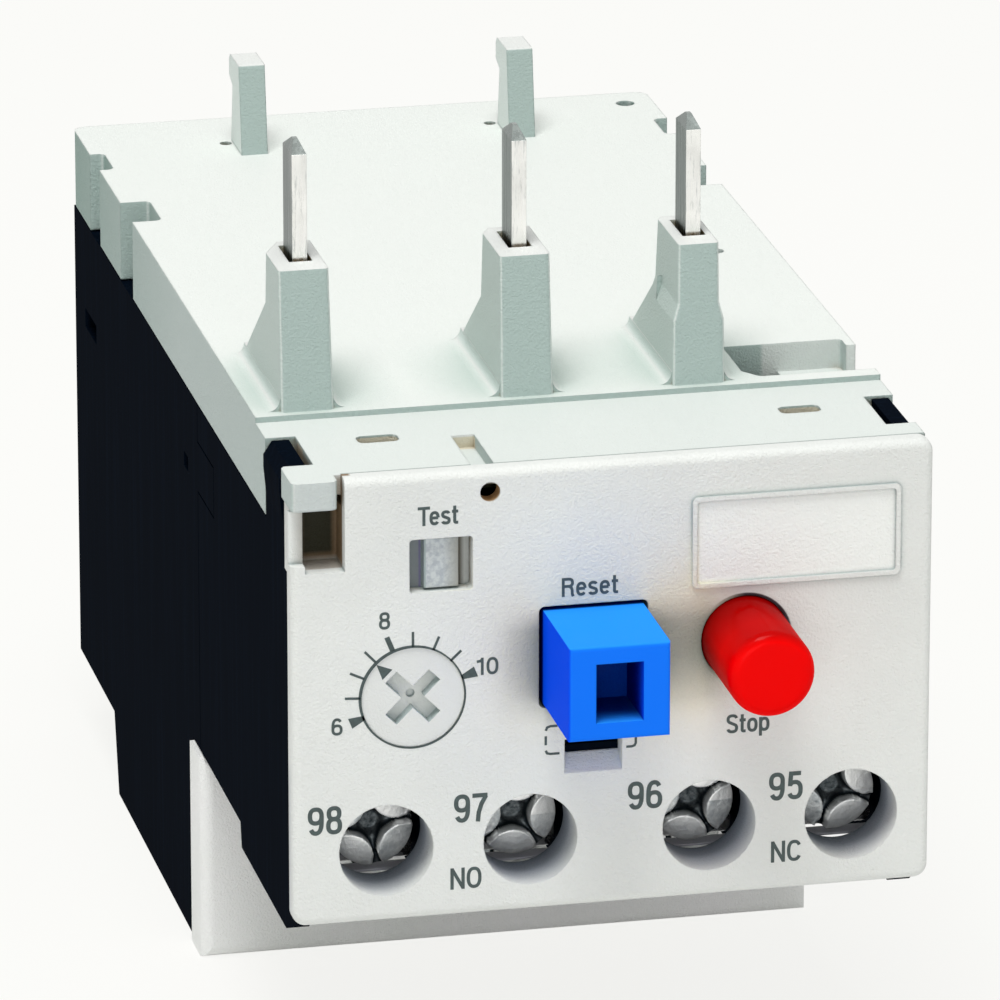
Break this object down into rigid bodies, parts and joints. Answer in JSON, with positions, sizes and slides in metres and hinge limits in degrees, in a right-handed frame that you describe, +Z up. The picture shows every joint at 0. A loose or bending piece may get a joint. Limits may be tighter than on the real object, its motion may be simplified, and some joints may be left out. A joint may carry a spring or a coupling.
{
  "type": "thermal overload relay",
  "caption": "Plug-in thermal overload relay: light grey cover with contact pins and hooks, black housing, setting dial, blue reset and red stop buttons, screw terminals.",
  "frame": {"origin": "middle of the overall box in X and Y, on the plane of the lowest underside", "axes": "+X to the right seen from the front, +Y from the front plate to the back, +Z up along the contact pins"},
  "size_m": [0.045, 0.093, 0.0658],
  "materials": {
    "light_grey_plastic": "fine-grained moulded light warm grey, semi-matt",
    "black_plastic": "moulded blue-black, semi-matt with faint vertical draw lines",
    "dial_plastic": "smooth moulded light grey",
    "blue_plastic": "smooth moulded bright blue",
    "red_plastic": "smooth moulded bright red",
    "slider_plastic": "smooth moulded pale grey",
    "plated_steel": "nickel-plated steel",
    "spring_steel": "bright spring wire",
    "tinned_copper": "tinned copper strip with fine drag marks",
    "brass": "plain brass strip",
    "contact_bronze": "phosphor bronze strip",
    "bimetal": "rolled bimetal strip",
    "heater_alloy": "resistance strip, slightly heat-tinted",
    "natural_plastic": "natural moulded plastic"
  },
  "bodies": {
    "relay_body": {"top_cover": "light_grey_plastic", "front_plate": "light_grey_plastic", "terminal_cover": "light_grey_plastic", "front_housing": "black_plastic", "rear_housing": "black_plastic", "reset_spring": "spring_steel", "stop_spring": "spring_steel", "carrier_spring": "spring_steel", "lever_pin": "plated_steel", "aux_terminal_98": "brass", "aux_terminal_97": "brass", "aux_terminal_96": "brass", "aux_terminal_95": "brass", "load_bar_1": "tinned_copper", "line_pin_1": "tinned_copper", "load_bar_2": "tinned_copper", "line_pin_2": "tinned_copper", "load_bar_3": "tinned_copper", "line_pin_3": "tinned_copper"},
    "dial": {"setting_dial": "dial_plastic"},
    "reset": {"reset_button": "blue_plastic"},
    "stop": {"stop_button": "red_plastic"},
    "test": {"test_slider": "slider_plastic"},
    "aux_washer_98_body": {"aux_washer_98": "plated_steel"},
    "aux_screw_98_body": {"aux_screw_98": "plated_steel"},
    "aux_washer_97_body": {"aux_washer_97": "plated_steel"},
    "aux_screw_97_body": {"aux_screw_97": "plated_steel"},
    "aux_washer_96_body": {"aux_washer_96": "plated_steel"},
    "aux_screw_96_body": {"aux_screw_96": "plated_steel"},
    "aux_washer_95_body": {"aux_washer_95": "plated_steel"},
    "aux_screw_95_body": {"aux_screw_95": "plated_steel"},
    "main_screw_1_body": {"main_screw_1": "plated_steel"},
    "main_cage_1_body": {"main_cage_1": "plated_steel"},
    "main_screw_2_body": {"main_screw_2": "plated_steel"},
    "main_cage_2_body": {"main_cage_2": "plated_steel"},
    "main_screw_3_body": {"main_screw_3": "plated_steel"},
    "main_cage_3_body": {"main_cage_3": "plated_steel"},
    "overload_slide_body": {"overload_slide": "natural_plastic"},
    "phase_slide_body": {"phase_slide": "natural_plastic"},
    "differential_body": {"differential_lever": "natural_plastic"},
    "trip_lever_body": {"trip_lever": "contact_bronze"},
    "carrier_body": {"contact_carrier": "natural_plastic"},
    "leaf_no_body": {"contact_leaf_no": "contact_bronze"},
    "leaf_nc_body": {"contact_leaf_nc": "contact_bronze"},
    "bimetal_1_body": {"bimetal_1": "bimetal", "heater_1": "heater_alloy"},
    "bimetal_2_body": {"bimetal_2": "bimetal", "heater_2": "heater_alloy"},
    "bimetal_3_body": {"bimetal_3": "bimetal", "heater_3": "heater_alloy"}
  },
  "joints": [
    {"name": "dial_turn", "type": "hinge", "parent": "relay_body", "child": "dial", "pos_m": [-0.01405, -0.0375, 0.0315], "axis": [0, 1, 0], "range_deg": [-67.5, 112.5]},
    {"name": "reset_press", "type": "slide", "parent": "relay_body", "child": "reset", "axis": [0, 1, 0], "range_m": [0, 0.0028], "stiffness_N_per_m": 500, "springref_m": -0.001, "deforming": ["reset_spring"]},
    {"name": "stop_press", "type": "slide", "parent": "relay_body", "child": "stop", "axis": [0, 1, 0], "range_m": [0, 0.0028], "stiffness_N_per_m": 500, "springref_m": -0.001, "deforming": ["stop_spring"]},
    {"name": "test_slide", "type": "slide", "parent": "relay_body", "child": "test", "axis": [1, 0, 0], "range_m": [-0.0008, 0.0008]},
    {"name": "aux_washer_98_lift", "type": "slide", "parent": "relay_body", "child": "aux_washer_98_body", "axis": [0, -1, 0], "range_m": [0, 0.0024]},
    {"name": "aux_screw_98_turn", "type": "hinge", "parent": "aux_washer_98_body", "child": "aux_screw_98_body", "pos_m": [-0.01595, -0.0316, 0.0205], "axis": [0, -1, 0], "range_deg": [0, 1440]},
    {"name": "aux_washer_97_lift", "type": "slide", "parent": "relay_body", "child": "aux_washer_97_body", "axis": [0, -1, 0], "range_m": [0, 0.0024]},
    {"name": "aux_screw_97_turn", "type": "hinge", "parent": "aux_washer_97_body", "child": "aux_screw_97_body", "pos_m": [-0.00583, -0.0316, 0.0205], "axis": [0, -1, 0], "range_deg": [0, 1440]},
    {"name": "aux_washer_96_lift", "type": "slide", "parent": "relay_body", "child": "aux_washer_96_body", "axis": [0, -1, 0], "range_m": [0, 0.0024]},
    {"name": "aux_screw_96_turn", "type": "hinge", "parent": "aux_washer_96_body", "child": "aux_screw_96_body", "pos_m": [0.0068, -0.0316, 0.0205], "axis": [0, -1, 0], "range_deg": [0, 1440]},
    {"name": "aux_washer_95_lift", "type": "slide", "parent": "relay_body", "child": "aux_washer_95_body", "axis": [0, -1, 0], "range_m": [0, 0.0024]},
    {"name": "aux_screw_95_turn", "type": "hinge", "parent": "aux_washer_95_body", "child": "aux_screw_95_body", "pos_m": [0.01689, -0.0316, 0.0205], "axis": [0, -1, 0], "range_deg": [0, 1440]},
    {"name": "main_screw_1_turn", "type": "hinge", "parent": "relay_body", "child": "main_screw_1_body", "pos_m": [-0.0123, -0.0025, 0.008], "axis": [0, -1, 0], "range_deg": [0, 1440]},
    {"name": "main_cage_1_open", "type": "slide", "parent": "relay_body", "child": "main_cage_1_body", "axis": [0, 1, 0], "range_m": [0, 0.0028]},
    {"name": "main_screw_2_turn", "type": "hinge", "parent": "relay_body", "child": "main_screw_2_body", "pos_m": [0, -0.0025, 0.008], "axis": [0, -1, 0], "range_deg": [0, 1440]},
    {"name": "main_cage_2_open", "type": "slide", "parent": "relay_body", "child": "main_cage_2_body", "axis": [0, 1, 0], "range_m": [0, 0.0028]},
    {"name": "main_screw_3_turn", "type": "hinge", "parent": "relay_body", "child": "main_screw_3_body", "pos_m": [0.0123, -0.0025, 0.008], "axis": [0, -1, 0], "range_deg": [0, 1440]},
    {"name": "main_cage_3_open", "type": "slide", "parent": "relay_body", "child": "main_cage_3_body", "axis": [0, 1, 0], "range_m": [0, 0.0028]},
    {"name": "overload_travel", "type": "slide", "parent": "relay_body", "child": "overload_slide_body", "axis": [1, 0, 0], "range_m": [0, 0.0012]},
    {"name": "phase_lag", "type": "slide", "parent": "overload_slide_body", "child": "phase_slide_body", "axis": [-1, 0, 0], "range_m": [0, 0.001]},
    {"name": "differential_turn", "type": "hinge", "parent": "overload_slide_body", "child": "differential_body", "pos_m": [0.0149, 0.0175, 0.0387], "axis": [0, 0, 1], "range_deg": [0, 14.37]},
    {"name": "trip_lever_turn", "type": "hinge", "parent": "relay_body", "child": "trip_lever_body", "pos_m": [0.0176, -0.006, 0.039], "axis": [0, 0, -1], "range_deg": [0, 3.58]},
    {"name": "carrier_travel", "type": "slide", "parent": "relay_body", "child": "carrier_body", "axis": [-1, 0, 0], "range_m": [0, 0.000992], "stiffness_N_per_m": 120, "springref_m": -0.0005, "deforming": ["carrier_spring"]},
    {"name": "leaf_no_flex", "type": "hinge", "parent": "relay_body", "child": "leaf_no_body", "pos_m": [-0.007, -0.0186, 0.02435], "axis": [0, -1, 0], "range_deg": [0, 3.8], "stiffness_Nm_per_rad": 0.003},
    {"name": "leaf_nc_flex", "type": "hinge", "parent": "relay_body", "child": "leaf_nc_body", "pos_m": [0.0074, -0.0186, 0.02435], "axis": [0, -1, 0], "range_deg": [0, 3.8], "stiffness_Nm_per_rad": 0.003},
    {"name": "bimetal_1_bend", "type": "hinge", "parent": "relay_body", "child": "bimetal_1_body", "pos_m": [-0.0161, 0.02, 0.01375], "axis": [0, 1, 0], "range_deg": [0, 2.87], "stiffness_Nm_per_rad": 0.05},
    {"name": "bimetal_2_bend", "type": "hinge", "parent": "relay_body", "child": "bimetal_2_body", "pos_m": [-0.0006, 0.02, 0.01375], "axis": [0, 1, 0], "range_deg": [0, 2.87], "stiffness_Nm_per_rad": 0.05},
    {"name": "bimetal_3_bend", "type": "hinge", "parent": "relay_body", "child": "bimetal_3_body", "pos_m": [0.0118, 0.02, 0.01375], "axis": [0, 1, 0], "range_deg": [0, 2.87], "stiffness_Nm_per_rad": 0.05}
  ],
  "couplings": [
    {"joint": "aux_screw_98_turn", "follows": "aux_washer_98_lift", "rad_per_m": 10472},
    {"joint": "aux_screw_97_turn", "follows": "aux_washer_97_lift", "rad_per_m": 10472},
    {"joint": "aux_screw_96_turn", "follows": "aux_washer_96_lift", "rad_per_m": 10472},
    {"joint": "aux_screw_95_turn", "follows": "aux_washer_95_lift", "rad_per_m": 10472},
    {"joint": "main_screw_1_turn", "follows": "main_cage_1_open", "rad_per_m": 8975.9},
    {"joint": "main_screw_2_turn", "follows": "main_cage_2_open", "rad_per_m": 8975.9},
    {"joint": "main_screw_3_turn", "follows": "main_cage_3_open", "rad_per_m": 8975.9},
    {"joint": "differential_turn", "follows": "phase_lag", "rad_per_m": 250},
    {"joint": "trip_lever_turn", "follows": "overload_travel", "rad_per_m": 51.282},
    {"joint": "carrier_travel", "follows": "overload_travel", "ratio": 0.81026},
    {"joint": "leaf_no_flex", "follows": "overload_travel", "rad_per_m": 54.563},
    {"joint": "leaf_nc_flex", "follows": "overload_travel", "rad_per_m": 54.563},
    {"joint": "bimetal_1_bend", "follows": "overload_travel", "rad_per_m": 41.068},
    {"joint": "bimetal_2_bend", "follows": "overload_travel", "rad_per_m": 41.068},
    {"joint": "bimetal_3_bend", "follows": "overload_travel", "rad_per_m": 41.068}
  ]
}
